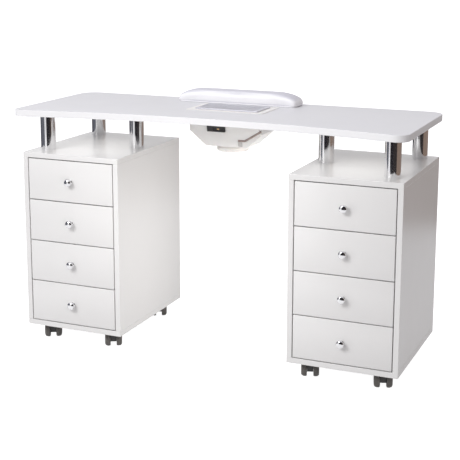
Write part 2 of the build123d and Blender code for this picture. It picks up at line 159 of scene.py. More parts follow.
def newObject(name, mesh):
    made = bpy.data.objects.new(name, mesh)
    scene.collection.objects.link(made)
    return made


def flatSheet(name, corners):
    mesh = bpy.data.meshes.new(name)
    mesh.from_pydata(corners, [], [(0, 1, 2, 3)])
    return newObject(name, mesh)


def newMaterial(name):
    material = bpy.data.materials.new(name)
    material.use_nodes = True
    tree = material.node_tree
    return material, tree, tree.nodes["Principled BSDF"], addNode(tree, "TexCoord").outputs["Object"]


floorValues = {
    "half": 60.0,
    "colour": (0.46, 0.46, 0.465, 1),
    "patch": 1.5,
    "rough": (0.7, 0.8),
    "specular": 0.1,
    "seenGlow": 0.95,
    "mirroredGlow": 0.48,
}


# Floor: a flat sheet with a glow that keeps it near white. It glows less in mirrors and lights nothing.
def addFloor(values):
    half = values["half"]
    floor = flatSheet("floor", [(-half, -half, 0), (half, -half, 0), (half, half, 0), (-half, half, 0)])
    material, tree, shader, place = newMaterial("paleFloor")
    clouds = addNode(tree, "TexNoise", {"Vector": place, "Scale": values["patch"], "Detail": 3.0})
    low, high = values["rough"]
    rough = addNode(tree, "MapRange", {"Value": clouds.outputs[0], "To Min": low, "To Max": high})
    tree.links.new(rough.outputs[0], shader.inputs["Roughness"])
    shader.inputs["Base Color"].default_value = values["colour"]
    shader.inputs["Specular IOR Level"].default_value = values["specular"]
    shader.inputs["Emission Color"].default_value = (1, 1, 1, 1)
    ray = addNode(tree, "LightPath").outputs
    mirrored = addNode(tree, "Math", {0: ray["Is Glossy Ray"], 1: values["mirroredGlow"]},
                       operation="MULTIPLY")
    glow = addNode(tree, "Math", {0: ray["Is Camera Ray"], 1: values["seenGlow"], 2: mirrored.outputs[0]},
                   operation="MULTIPLY_ADD")
    tree.links.new(glow.outputs[0], shader.inputs["Emission Strength"])
    floor.data.materials.append(material)


# Dark cards that only polished metal sees: heading from +Y towards -X in degrees, width, top, colour
cardValues = {
    "distance": 1.9,
    "cards": [(190, 1.46, 2.4, (0.020, 0.018, 0.022)), (230, 1.46, 2.4, (0.035, 0.030, 0.030)),
              (270, 1.46, 1.4, (0.25, 0.185, 0.150)), (311, 1.5, 0.72, (0.27, 0.205, 0.175)),
              (357, 1.9, 0.45, (0.27, 0.23, 0.205)), (120, 1.7, 2.4, (0.13, 0.135, 0.16)),
              (78, 1.5, 0.72, (0.10, 0.10, 0.12)), (40, 1.3, 0.45, (0.06, 0.052, 0.05))],
}


def addCards(values):
    for number, (heading, width, top, colour) in enumerate(values["cards"]):
        angle = math.radians(heading)
        middle = Vector((-math.sin(angle), math.cos(angle), 0)) * values["distance"]
        along = Vector((math.cos(angle), math.sin(angle), 0)) * width / 2
        corners = zip((middle - along, middle + along, middle + along, middle - along), (0, 0, top, top))
        card = flatSheet(f"card{number}", [(spot.x, spot.y, height) for spot, height in corners])
        material = bpy.data.materials.new(f"cardPaint{number}")
        material.use_nodes = True
        tree = material.node_tree
        tree.nodes.clear()
        paint = addNode(tree, "Emission", {"Color": colour + (1,)})
        addNode(tree, "OutputMaterial", {"Surface": paint.outputs[0]})
        card.data.materials.append(material)
        card.visible_camera = card.visible_diffuse = card.visible_shadow = False
        card.visible_transmission = card.visible_volume_scatter = False


addCamera(cameraValues)
for lightName, light in lightValues.items():
    addLight(lightName, *light)
addWorld(worldValues)
addFloor(floorValues)
addCards(cardValues)
scene.view_settings.view_transform = "Standard"
print("stage ready")


# Each finish: two close colours mottled together, a roughness range, a grain and how deep it is.
# "stretch" draws the patterns out along an axis, the upright-face colour is painted light: faces that stand
# upright are made lighter than the top, which is painted shade on the top, and "even" holds values that are
# the same all over.
finishValues = {
    # The top's grey and the lighter colour of its upright faces are painted light and shade: the top is
    # painted darker than its front edge.
    "topLaminate": {"colours": ((0.685, 0.685, 0.705), (0.70, 0.70, 0.72)), "patch": 3.5,
                    "rough": (0.36, 0.40), "grain": 420, "depth": 0.02, "uprightPaintedLight": (0.83, 0.83, 0.84),
                    "even": {"Specular IOR Level": 0.3}},
    "whiteLaminate": {"colours": ((0.795, 0.79, 0.78), (0.81, 0.805, 0.796)), "patch": 3.5,
                      "rough": (0.235, 0.26), "grain": 420, "depth": 0.02,
                      "even": {"Coat Weight": 0.1, "Coat Roughness": 0.2}},
    "polishedChrome": {"colours": ((0.80, 0.80, 0.81), (0.86, 0.86, 0.87)), "patch": 9,
                       "rough": (0.10, 0.16), "grain": 260, "depth": 0.004, "even": {"Metallic": 1.0}},
    "zincSteel": {"colours": ((0.50, 0.51, 0.52), (0.62, 0.625, 0.62)), "patch": 160,
                  "rough": (0.28, 0.45), "grain": 900, "depth": 0.04, "even": {"Metallic": 1.0}},
    "ivoryPlastic": {"colours": ((0.83, 0.80, 0.775), (0.865, 0.84, 0.815)), "patch": 14,
                     "rough": (0.34, 0.46), "grain": 1500, "depth": 0.12,
                     "even": {"Subsurface Weight": 0.04}},
    "blackPlastic": {"colours": ((0.012, 0.011, 0.012), (0.022, 0.020, 0.021)), "patch": 60,
                     "rough": (0.3, 0.46), "grain": 1400, "depth": 0.14, "even": {}},
    "motorPaint": {"colours": ((0.03, 0.034, 0.04), (0.055, 0.06, 0.07)), "patch": 70,
                   "rough": (0.35, 0.5), "grain": 900, "depth": 0.15, "even": {}},
    "boxLaminate": {"colours": ((0.70, 0.695, 0.685), (0.75, 0.745, 0.735)), "patch": 3,
                    "rough": (0.4, 0.5), "grain": 500, "depth": 0.08, "even": {}},
    "greyBrownBlock": {"colours": ((0.50, 0.48, 0.465), (0.56, 0.54, 0.525)), "patch": 40,
                       "rough": (0.4, 0.5), "grain": 1500, "depth": 0.12, "even": {}},
    "brushedGrille": {"colours": ((0.60, 0.60, 0.65), (0.68, 0.68, 0.73)), "patch": 30,
                      "rough": (0.36, 0.46), "grain": 240, "depth": 0.08, "stretch": (1, 14, 1),
                      "even": {"Metallic": 0.55}},
    "filterFelt": {"colours": ((0.17, 0.17, 0.19), (0.27, 0.27, 0.29)), "patch": 700,
                   "rough": (0.85, 1.0), "grain": 1100, "depth": 0.7, "even": {"Sheen Weight": 0.35}},
    "greyNylon": {"colours": ((0.125, 0.116, 0.108), (0.165, 0.155, 0.145)), "patch": 45,
                  "rough": (0.38, 0.55), "grain": 1200, "depth": 0.12, "even": {}},
    # Dark brown painted shadow for the gap along the extractor cover's right edge.
    "gapShadePaint": {"colours": ((0.30, 0.235, 0.21), (0.37, 0.30, 0.27)), "patch": 80,
                     "rough": (0.5, 0.7), "grain": 1500, "depth": 0.2, "even": {}},
}

# How much finer the gloss pattern is than the colour pattern, and the height a grain of depth 1 stands for
sharedValues = {"glossScale": 4.3, "grainHeight": 0.0006}


def setEven(shader, values):
    for key, value in values.items():
        shader.inputs[key].default_value = value


def makeFinish(name, look):
    material, tree, shader, place = newMaterial(name)
    if "stretch" in look:
        place = addNode(tree, "Mapping", {"Vector": place, "Scale": look["stretch"]}).outputs[0]
    clouds = addNode(tree, "TexNoise", {"Vector": place, "Scale": look["patch"], "Detail": 5.0,
                                        "Roughness": 0.6})
    dark, light = (tuple(colour) + (1,) for colour in look["colours"])
    share = addNode(tree, "MapRange", {"Value": clouds.outputs[0], "From Min": 0.35, "From Max": 0.65})
    tint = addNode(tree, "Mix", {0: share.outputs[0], 6: dark, 7: light}, data_type="RGBA")
    # Painted light: faces that stand upright take the lighter upright colour, leaving the top painted
    # darker.
    if "uprightPaintedLight" in look:
        facing = addNode(tree, "TexCoord").outputs["Normal"]
        flat = addNode(tree, "SeparateXYZ", {0: facing}).outputs["Z"]
        level = addNode(tree, "Math", {0: flat}, operation="ABSOLUTE").outputs[0]
        side = addNode(tree, "MapRange", {"Value": level, "From Min": 0.85, "From Max": 0.5}).outputs[0]
        tint = addNode(tree, "Mix", {0: side, 6: tint.outputs[2], 7: look["uprightPaintedLight"] + (1,)},
                       data_type="RGBA")
    tree.links.new(tint.outputs[2], shader.inputs["Base Color"])
    fine = look["patch"] * sharedValues["glossScale"]
    handling = addNode(tree, "TexNoise", {"Vector": place, "Scale": fine, "Detail": 4.0})
    low, high = look["rough"]
    gloss = addNode(tree, "MapRange", {"Value": handling.outputs[0], "From Min": 0.3, "From Max": 0.7,
                                       "To Min": low, "To Max": high})
    tree.links.new(gloss.outputs[0], shader.inputs["Roughness"])
    grain = addNode(tree, "TexNoise", {"Vector": place, "Scale": look["grain"], "Detail": 3.0})
    bump = addNode(tree, "Bump", {"Height": grain.outputs[0], "Strength": look["depth"],
                                  "Distance": sharedValues["grainHeight"]})
    tree.links.new(bump.outputs[0], shader.inputs["Normal"])
    setEven(shader, look["even"])
    return material


finishes = {name: makeFinish(name, look) for name, look in finishValues.items()}


# Leathercloth: small pebbles with fine creases between them, over a slow mottle; faces that point up are
# painted a greyer lavender, painted shade on the top of the roll.
vinylValues = {
    "light": (0.86, 0.86, 0.88, 1),
    "shade": (0.80, 0.80, 0.83, 1),
    # crown: the greyer lavender painted as shade on faces that point up
    "crown": (0.60, 0.595, 0.66, 1),
    "paintedTopShade": (0.55, 0.92),
    "mottle": 12.0,
    "pebbles": 900,
    "folds": 70.0,
    "creases": 0.10,
    "rough": (0.34, 0.5),
}


def makeVinyl(values):
    material, tree, shader, place = newMaterial("whiteVinyl")
    clouds = addNode(tree, "TexNoise", {"Vector": place, "Scale": values["mottle"], "Detail": 4.0})
    tint = addNode(tree, "Mix", {0: clouds.outputs[0], 6: values["shade"], 7: values["light"]},
                   data_type="RGBA")
    # Painted shade: faces that point up are mixed towards the crown colour.
    upward = addNode(tree, "SeparateXYZ", {0: addNode(tree, "TexCoord").outputs["Normal"]}).outputs["Z"]
    start, end = values["paintedTopShade"]
    paintedTopShade = addNode(tree, "MapRange", {"Value": upward, "From Min": start, "From Max": end}).outputs[0]
    tint = addNode(tree, "Mix", {0: paintedTopShade, 6: tint.outputs[2], 7: values["crown"]}, data_type="RGBA")
    tree.links.new(tint.outputs[2], shader.inputs["Base Color"])
    pebbles = addNode(tree, "TexVoronoi", {"Vector": place, "Scale": values["pebbles"]},
                      feature="SMOOTH_F1")
    creases = addNode(tree, "TexNoise", {"Vector": place, "Scale": values["folds"], "Detail": 6.0})
    height = addNode(tree, "Math", {0: pebbles.outputs["Distance"], 1: creases.outputs[0]},
                     operation="ADD")
    bump = addNode(tree, "Bump", {"Height": height.outputs[0], "Strength": values["creases"],
                                  "Distance": 0.0005})
    tree.links.new(bump.outputs[0], shader.inputs["Normal"])
    low, high = values["rough"]
    gloss = addNode(tree, "MapRange", {"Value": clouds.outputs[0], "To Min": low, "To Max": high})
    tree.links.new(gloss.outputs[0], shader.inputs["Roughness"])
    setEven(shader, {"Sheen Weight": 0.08, "Coat Weight": 0.12, "Coat Roughness": 0.35})
    return material


# Amber lens: clear tinted plastic with moulded ribs that scatter the light.
amberValues = {"tint": (0.72, 0.42, 0.20, 1), "deep": (0.45, 0.22, 0.09, 1), "ribs": 420, "glow": 0.05}


def makeAmber(values):
    material, tree, shader, place = newMaterial("amberLens")
    ribs = addNode(tree, "TexWave", {"Vector": place, "Scale": values["ribs"], "Distortion": 0.4})
    tint = addNode(tree, "Mix", {0: ribs.outputs["Fac"], 6: values["deep"], 7: values["tint"]},
                   data_type="RGBA")
    tree.links.new(tint.outputs[2], shader.inputs["Base Color"])
    bump = addNode(tree, "Bump", {"Height": ribs.outputs["Fac"], "Strength": 0.4, "Distance": 0.0003})
    tree.links.new(bump.outputs[0], shader.inputs["Normal"])
    gloss = addNode(tree, "MapRange", {"Value": ribs.outputs["Fac"], "To Min": 0.12, "To Max": 0.22})
    tree.links.new(gloss.outputs[0], shader.inputs["Roughness"])
    tree.links.new(tint.outputs[2], shader.inputs["Emission Color"])
    setEven(shader, {"Emission Strength": values["glow"], "Subsurface Weight": 0.2})
    return material


finishes["whiteVinyl"] = makeVinyl(vinylValues)
finishes["amberLens"] = makeAmber(amberValues)
slotFinish = {
    "top_laminate": "topLaminate", "white_laminate": "whiteLaminate", "polished_chrome": "polishedChrome",
    "zinc_steel": "zincSteel", "ivory_plastic": "ivoryPlastic", "black_plastic": "blackPlastic",
    "motor_paint": "motorPaint", "brushed_grille": "brushedGrille", "filter_felt": "filterFelt",
    "grey_nylon": "greyNylon", "white_vinyl": "whiteVinyl",
}
for node in nodes.values():
    slotName = node.data.materials[0].name.split(".")[0]
    node.data.materials[0] = finishes[slotFinish[slotName]]
print("finishes ready:", len(finishes))

# Quads between neighbouring points of a grid whose columns close on themselves; the rows may close too.
def gridFaces(rows, columns, closeRows):
    a, b = np.meshgrid(np.arange(rows if closeRows else rows - 1), np.arange(columns), indexing="ij")
    down, along = (a + 1) % rows, (b + 1) % columns
    quads = [a * columns + b, down * columns + b, down * columns + along, a * columns + along]
    return np.stack(quads, -1).reshape(-1, 4)


def readPoints(mesh):
    points = np.empty(len(mesh.vertices) * 3)
    mesh.vertices.foreach_get("co", points)
    return points.reshape(-1, 3)


def writePoints(mesh, points):
    mesh.vertices.foreach_set("co", points.ravel())
    mesh.update()


def jointNamed(name):
    return next(joint for joint in frame["joints"] if joint["name"] == name)


# Merges doubles and turns the faces outwards, or upwards on an open sheet. Without a crease angle the
# faces stay flat.
def tidyMesh(mesh, crease=32.0, upwards=False):
    work = bmesh.new()
    work.from_mesh(mesh)
    bmesh.ops.remove_doubles(work, verts=work.verts, dist=1e-6)
    bmesh.ops.recalc_face_normals(work, faces=work.faces)
    if upwards and next(iter(work.faces)).normal.z < 0:
        bmesh.ops.reverse_faces(work, faces=work.faces)
    work.to_mesh(mesh)
    work.free()
    if crease is not None:
        mesh.shade_smooth()
        mesh.set_sharp_from_angle(angle=math.radians(crease))


# Ends a piece: its finish, the body it rides on and the nodes it replaces.
def placePiece(piece, finish, body, replaced=()):
    piece.data.materials.clear()
    piece.data.materials.append(finishes[finish])
    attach(piece, body)
    if replaced:
        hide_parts(*replaced)
    return piece


# One mesh from several closed shells, each a (grid, rows close) pair.
def newPiece(name, shells, finish, body, replaced=(), crease=32.0):
    points, faces, start = [], [], 0
    for grid, closeRows in shells:
        rows, columns = grid.shape[:2]
        points.append(grid.reshape(-1, 3))
        faces.append(gridFaces(rows, columns, closeRows) + start)
        start += rows * columns
    mesh = bpy.data.meshes.new(name)
    mesh.from_pydata(np.concatenate(points).tolist(), [], np.concatenate(faces).tolist())
    tidyMesh(mesh, crease)
    return placePiece(newObject(name, mesh), finish, body, replaced)


# A profile of (radius, height) turned round an axis: a point is the centre plus its radius times the
# ring's cosine and sine directions plus its height times the axis.
def turned(profile, centre, axis, steps=48):
    profile = np.asarray(profile, float)
    axis = np.array(Vector(axis).normalized())
    side = np.array(Vector(axis).orthogonal().normalized())
    angle = np.linspace(0, 2 * math.pi, steps, endpoint=False)
    ring = np.outer(np.cos(angle), side) + np.outer(np.sin(angle), np.cross(axis, side))
    return np.asarray(centre, float) + profile[:, None, :1] * ring + profile[:, None, 1:] * axis


# An outline with its corners softened: each corner is cut back by its reach along both edges, and a
# quadratic curve pulled towards the corner joins the two cuts.
def softened(corners, reach, closed=False, steps=4):
    corners = np.asarray(corners, float)
    before, after = np.roll(corners, 1, 0), np.roll(corners, -1, 0)
    reach = np.broadcast_to(np.asarray(reach, float), len(corners))[:, None]
    inward, outward = before - corners, after - corners
    inLength = np.maximum(np.linalg.norm(inward, axis=1), 1e-9)[:, None]
    outLength = np.maximum(np.linalg.norm(outward, axis=1), 1e-9)[:, None]
    first = corners + inward / inLength * np.minimum(reach, inLength * 0.49)
    last = corners + outward / outLength * np.minimum(reach, outLength * 0.49)
    t = np.linspace(0, 1, steps + 1)[None, :, None]
    curve = (1 - t) ** 2 * first[:, None] + 2 * t * (1 - t) * corners[:, None] + t**2 * last[:, None]
    if closed:
        return curve.reshape(-1, 2)
    return np.concatenate([corners[:1], curve[1:-1].reshape(-1, 2), corners[-1:]])


# A block with rounded edges: the middle, plus the half size less the radius towards each corner, plus the
# radius along a grid of directions whose quarter turns repeat their ends. The end rows close on the faces.
def roundedBox(low, high, radius, steps=3):
    low, high = np.array(low, float), np.array(high, float)
    middle, half = (low + high) / 2, abs(high - low) / 2
    quarter = np.linspace(0, math.pi / 2, steps + 1)
    turn = np.concatenate([quarter + k * math.pi / 2 for k in range(4)])
    rise = np.concatenate([quarter - math.pi / 2, quarter])
    towards = np.repeat([[1, 1], [-1, 1], [-1, -1], [1, -1]], steps + 1, axis=0)
    upward = np.repeat([-1, 1], steps + 1)
    shape = (len(rise), len(turn))
    direction = np.stack([np.outer(np.cos(rise), np.cos(turn)), np.outer(np.cos(rise), np.sin(turn)),
                          np.outer(np.sin(rise), np.ones(len(turn)))], -1)
    corner = np.stack([np.broadcast_to(towards[:, 0], shape), np.broadcast_to(towards[:, 1], shape),
                       np.broadcast_to(upward[:, None], shape)], -1)
    skin = middle + corner * (half - radius) + radius * direction
    foot = np.broadcast_to(middle - (0, 0, half[2]), (1, len(turn), 3))
    head = np.broadcast_to(middle + (0, 0, half[2]), (1, len(turn), 3))
    return np.concatenate([foot, skin, head])


# The outline of a rounded rectangle, with its outward directions: quarter circles at the four corners.
def roundedOutline(halfX, halfY, corner, steps=8):
    quarter = np.linspace(0, math.pi / 2, steps + 1)
    turn = np.concatenate([quarter + k * math.pi / 2 for k in range(4)])
    towards = np.repeat([[1, 1], [-1, 1], [-1, -1], [1, -1]], steps + 1, axis=0)
    out = np.stack([np.cos(turn), np.sin(turn)], -1)
    return towards * (np.array([halfX, halfY]) - corner) + corner * out, out


# A profile of (outward, height) carried round a rounded rectangle: outline point plus outward times the
# outline's normal, with the height upwards.
def carriedRound(profile, centre, halfX, halfY, corner, steps=8):
    line, out = roundedOutline(halfX, halfY, corner, steps)
    profile = np.asarray(profile, float)
    flat = line[None] + profile[:, None, :1] * out[None]
    height = np.broadcast_to(profile[:, None, 1:], flat.shape[:2] + (1,))
    return np.concatenate([flat, height], -1) + np.asarray(centre, float)


copyValues = {"merge": 2e-5, "flat": 0.6, "crease": 40}


# A clean copy of a CAD node with softly bevelled edges, for moulded parts.
def bevelledCopy(nodeName, name, width, finish, body, segments=3, angle=28.0):
    mesh = nodes[nodeName].data.copy()
    mesh.name = name
    work = bmesh.new()
    work.from_mesh(mesh)
    bmesh.ops.remove_doubles(work, verts=work.verts, dist=copyValues["merge"])
    bmesh.ops.dissolve_limit(work, angle_limit=math.radians(copyValues["flat"]), verts=work.verts,
                             edges=work.edges)
    bmesh.ops.recalc_face_normals(work, faces=work.faces)
    work.to_mesh(mesh)
    work.free()
    if mesh.attributes.get("custom_normal"):
        mesh.attributes.remove(mesh.attributes["custom_normal"])
    mesh.shade_smooth()
    mesh.set_sharp_from_angle(angle=math.radians(copyValues["crease"]))
    piece = newObject(name, mesh)
    bevel = piece.modifiers.new("softEdges", "BEVEL")
    bevel.width, bevel.segments, bevel.angle_limit = width, segments, math.radians(angle)
    bevel.limit_method = "ANGLE"
    bevel.harden_normals = True
    return placePiece(piece, finish, body, (nodeName,))


postValues = {"wall": 0.0015, "rounding": 0.0007, "outerBand": 0.12, "steps": 72}


# Each post is a tube: a thin rounded rectangle turned round the post's own axis. Posts in the outer band
# are told apart by their depth, and the one left over is the inner post.
def makePosts(side, values):
    points = readPoints(nodes[f"{side}_posts"].data)
    low, high = points[:, 2].min(), points[:, 2].max()
    outer = points[:, 0] * sides[side] > abs(points[:, 0]).max() - values["outerBand"]
    front = points[:, 1] < (points[:, 1].min() + points[:, 1].max()) / 2
    shells = []
    for chosen in (outer & front, outer & ~front, ~outer):
        group = points[chosen]
        centre = (group.max(0) + group.min(0)) / 2
        radius = (group[:, 0].max() - group[:, 0].min()) / 2
        loop = softened([(radius, low), (radius, high), (radius - values["wall"], high),
                         (radius - values["wall"], low)], values["rounding"], closed=True)
        shells.append((turned(loop, (centre[0], centre[1], 0), (0, 0, 1), values["steps"]), True))
    newPiece(f"{side}ChromePosts", shells, "polishedChrome", "table", (f"{side}_posts",))


for side in sides:
    makePosts(side, postValues)
print("posts ready")


drawerValues = {"frontThick": 0.016, "edge": 0.0012, "board": 0.012, "boxHalf": 0.136, "boxLength": 0.380,
                "boxLift": 0.012, "boxHigh": 0.092, "bottomLift": 0.006, "bottomThick": 0.004,
                "boardEdge": 0.0006, "barReach": 0.0095, "barHigh": 0.023, "barLift": 0.042,
                "barLength": 0.360, "barFlange": 0.0035, "barWeb": 0.0022, "barEdge": 0.0005}

# Knob profile, from its foot outwards: radius and distance from the drawer front, with softening reach
knobValues = {
    "profile": [(0, 0), (0.0078, 0), (0.0078, 0.0022), (0.0052, 0.0042), (0.0050, 0.0105), (0.0086, 0.0128),
                (0.0113, 0.0136), (0.0120, 0.0152), (0.0114, 0.0178), (0.0088, 0.0203), (0.0046, 0.0217),
                (0, 0.0220)],
    "soft": [0, 0.0006, 0.0008, 0.0016, 0.003, 0.0014, 0.0007, 0.0012, 0.0014, 0.0022, 0.0022, 0],
    "steps": 56,
}


# A drawer is a laminated front, a box of plain boards behind it, and a steel running bar on each side.
def makeDrawer(side, number, values):
    name = body = f"{side}_drawer_{number}"
    low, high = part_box(name)
    frontBack = low.y + values["frontThick"]
    middle = (low.x + high.x) / 2
    front = roundedBox(low, (high.x, frontBack, high.z), values["edge"])
    newPiece(f"{side}Drawer{number}Front", [(front, False)], "whiteLaminate", body,
             (name,))
    half, board = values["boxHalf"], values["board"]
    floor = low.z + values["boxLift"]
    top, end = floor + values["boxHigh"], frontBack + values["boxLength"]
    blocks = [((middle - half, frontBack, floor), (middle - half + board, end, top)),
              ((middle + half - board, frontBack, floor), (middle + half, end, top)),
              ((middle - half + board, end - board, floor), (middle + half - board, end, top)),
              ((middle - half + board, frontBack, floor + values["bottomLift"]),
               (middle + half - board, end - board, floor + values["bottomLift"] + values["bottomThick"]))]
    box = [(roundedBox(a, b, values["boardEdge"], 2), False) for a, b in blocks]
    newPiece(f"{side}Drawer{number}Box", box, "boxLaminate", body)
    barMiddle = low.z + values["barLift"]
    barEnd = frontBack + values["barLength"]
    tall, flange = values["barHigh"] / 2, values["barFlange"]
    bars = []
    for hand in (-1, 1):
        near, far = middle + hand * half, middle + hand * (half + values["barReach"])
        for foot, head, reach in ((-tall, -tall + flange, far), (tall - flange, tall, far),
                                  (-tall, tall, near + hand * values["barWeb"])):
            a, b = sorted((near, reach))
            bars.append((roundedBox((a, frontBack, barMiddle + foot), (b, barEnd, barMiddle + head),
                                    values["barEdge"], 2), False))
    newPiece(f"{side}Drawer{number}Bars", bars, "zincSteel", body)


def makeKnob(side, number, values):
    name = f"{side}_knob_{number}"
    low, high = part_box(name)
    profile = softened(values["profile"], values["soft"])
    centre = ((low.x + high.x) / 2, high.y, (low.z + high.z) / 2)
    newPiece(f"{side}Knob{number}", [(turned(profile, centre, (0, -1, 0), values["steps"]), False)],
             "polishedChrome", f"{side}_drawer_{number}", (name,), crease=50.0)


for side in sides:
    for number in range(1, 5):
        makeDrawer(side, number, drawerValues)
        makeKnob(side, number, knobValues)
print("drawers and knobs ready")


# Wheel profile for one side: radius and distance from the middle of the caster, with softening reach
wheelValues = {
    "profile": [(0.0031, 0.0095), (0.0190, 0.0095), (0.0200, 0.0103), (0.0212, 0.0103), (0.0220, 0.0095),
                (0.0230, 0.0096), (0.0247, 0.0118), (0.0250, 0.0150), (0.0246, 0.0196), (0.0228, 0.0240),
                (0.0192, 0.0265), (0.0178, 0.0265), (0.0164, 0.0238), (0.0112, 0.0232), (0.0092, 0.0236),
                (0.0082, 0.0256), (0.0031, 0.0256)],
    "soft": 0.0011,
    "steps": 56,
}
bossValues = {"count": 6, "ring": 0.0136, "radius": 0.0016, "low": 0.0225, "high": 0.0249,
              "edge": 0.0005, "steps": 12}
axleValues = {"radius": 0.0030, "inset": 0.0006, "edge": 0.0004, "steps": 24}


# Two mirrored wheels on one axle; six small bosses stand in each hub's recess.
def makeWheels(label, values, bosses, rod):
    joint = jointNamed(f"wheels_{label}_roll")
    centre, axle = np.array(joint["pos_m"]), np.array(joint["axis"])
    level = np.cross(axle, (0, 0, 1))
    wheel = softened(values["profile"], values["soft"], closed=True, steps=3)
    pin = softened([(0, bosses["low"]), (bosses["radius"], bosses["low"]),
                    (bosses["radius"], bosses["high"]), (0, bosses["high"])], bosses["edge"], steps=2)
    shells = []
    for hand in (-1, 1):
        shells.append((turned(wheel * (1, hand), centre, axle, values["steps"]), True))
        for angle in np.linspace(0, 2 * math.pi, bosses["count"], endpoint=False):
            spoke = math.cos(angle) * level + math.sin(angle) * np.array((0, 0, 1))
            spot = centre + bosses["ring"] * spoke
            shells.append((turned(pin * (1, hand), spot, axle, bosses["steps"]), False))
    reach = values["profile"][-1][1] - rod["inset"]
    line = softened([(0, -reach), (rod["radius"], -reach), (rod["radius"], reach), (0, reach)],
                    rod["edge"], steps=2)
    shells.append((turned(line, centre, axle, rod["steps"]), False))
    newPiece(f"wheels_{label}_pair", shells, "greyNylon", f"wheels_{label}",
             (f"wheels_{label}",))


casterLabels = [f"{side}_{row}_{column}" for side in sides for row in ("front", "back")
                for column in ("outer", "inner")]
for label in casterLabels:
    makeWheels(label, wheelValues, bossValues, axleValues)
    bevelledCopy(f"caster_body_{label}", f"caster_{label}_housing", 0.0014, "blackPlastic",
                 f"caster_{label}", angle=40.0)
print("casters ready")


# Node, name of its copy, bevel width, finish, slot
for source, copyName, width, finish, slotName in (
    ("extractor_body", "extractorShell", 0.0016, "ivoryPlastic", "ivory_plastic"),
    ("extractor_front_cover", "extractorCover", 0.0009, "ivoryPlastic", "ivory_plastic"),
    ("switch_bezel", "switchFrame", 0.0007, "blackPlastic", "black_plastic"),
    ("power_inlet", "powerInletBody", 0.0006, "blackPlastic", "black_plastic"),
):
    bevelledCopy(source, copyName, width, finish, "table")
bevelledCopy("switch_rocker", "switchRockerCap", 0.0006, "blackPlastic", "rocker")

# Places on the cover: across, up the cover from the fold, out from its back
coverFold = np.array((0, -0.010, 0.685))
# Path of the painted gap shadow on the cover: down its right edge, then along the step.
gapShadeValues = {"path": [(0.1168, 0.0105), (0.0635, -0.0222), (0.0415, -0.0222)], "turn": 0.004,
                "half": 0.0030, "out": (0.0005, 0.0042), "bevel": 0.0006, "crown": 0.6}
stepBlockValues = {"across": (0.0405, 0.0530), "up": (-0.0412, -0.0255), "out": (0.0002, 0.0024),
                 "edge": 0.0008}
lensValues = {"across": 0.0075, "up": 0.0045, "along": -0.0085, "out": (0.0022, 0.0037), "tilt": 9,
              "edge": 0.0006}


# The cover's own directions: outwards is the normal of its largest face, up lies in that face.
def coverFrame():
    faces = nodes["extractor_front_cover"].data.polygons
    largest = max(faces, key=lambda face: face.area)
    out = np.array(largest.normal)
    out = out if out[1] < 0 else -out
    up = np.cross(out, (1, 0, 0))
    up = up if up[2] > 0 else -up
    return out, up / np.linalg.norm(up)


coverOut, coverUp = coverFrame()


# A place on a leaning face becomes a place in the room: its origin plus across, up and out.
def leaning(places, origin, up, out):
    places = np.asarray(places, float)
    return origin + places[..., :1] * (1, 0, 0) + places[..., 1:2] * up + places[..., 2:] * out


# Painted shadow of the gap along the cover's right edge and its step: a flat dark brown strip beside a
# path, each path point shifted by half the strip's width both ways.
def makeGapShade(values):
    path = softened(values["path"], values["turn"], steps=5)
    along = np.gradient(path, axis=0)
    along /= np.linalg.norm(along, axis=1)[:, None]
    across = np.stack([-along[:, 1], along[:, 0]], -1) * values["half"]
    back, face = values["out"]
    shoulder, crown = face - values["bevel"], values["crown"]
    rail = [np.concatenate([path + across * share, np.full((len(path), 1), out)], 1)
            for share, out in ((-1, back), (-1, shoulder), (-crown, face), (crown, face), (1, shoulder),
                               (1, back))]
    grid = np.stack(rail, 1)
    ends = [np.broadcast_to(grid[k].mean(0), (1,) + grid.shape[1:]) for k in (0, -1)]
    skin = leaning(np.concatenate([ends[0], grid, ends[1]]), coverFold, coverUp, coverOut)
    newPiece("coverGapShade", [(skin, False)], "gapShadePaint", "table")


# A grey-brown block standing under the step of the cover.
def makeStepBlock(values):
    low, high = zip(values["across"], values["up"], values["out"])
    skin = leaning(roundedBox(low, high, values["edge"]), coverFold, coverUp, coverOut)
    newPiece("coverStepBlock", [(skin, False)], "greyBrownBlock", "table")


# Amber lens in the rocker's lower half, tilted with the rocker.
def makeLens(values):
    tilt = math.atan2(-coverUp[1], coverUp[2]) + math.radians(values["tilt"])
    up, out = (0, -math.sin(tilt), math.cos(tilt)), (0, -math.cos(tilt), -math.sin(tilt))
    half, tall = values["across"] / 2, values["up"] / 2
    block = roundedBox((-half, values["along"] - tall, values["out"][0]),
                       (half, values["along"] + tall, values["out"][1]), values["edge"])
    skin = leaning(block, np.array(jointNamed("rocker_press")["pos_m"]), np.array(up), np.array(out))
    newPiece("rockerLens", [(skin, False)], "amberLens", "rocker")


makeGapShade(gapShadeValues)
makeStepBlock(stepBlockValues)
makeLens(lensValues)

collarValues = {"rim": 0.012, "neck": 0.044, "bore": 0.040, "footEdge": 0.0015, "rimEdge": 0.001,
                "grooves": 3, "firstGroove": 0.0036, "groovePitch": 0.0022, "grooveDepth": 0.0006,
                "soft": 0.0003, "steps": 96}


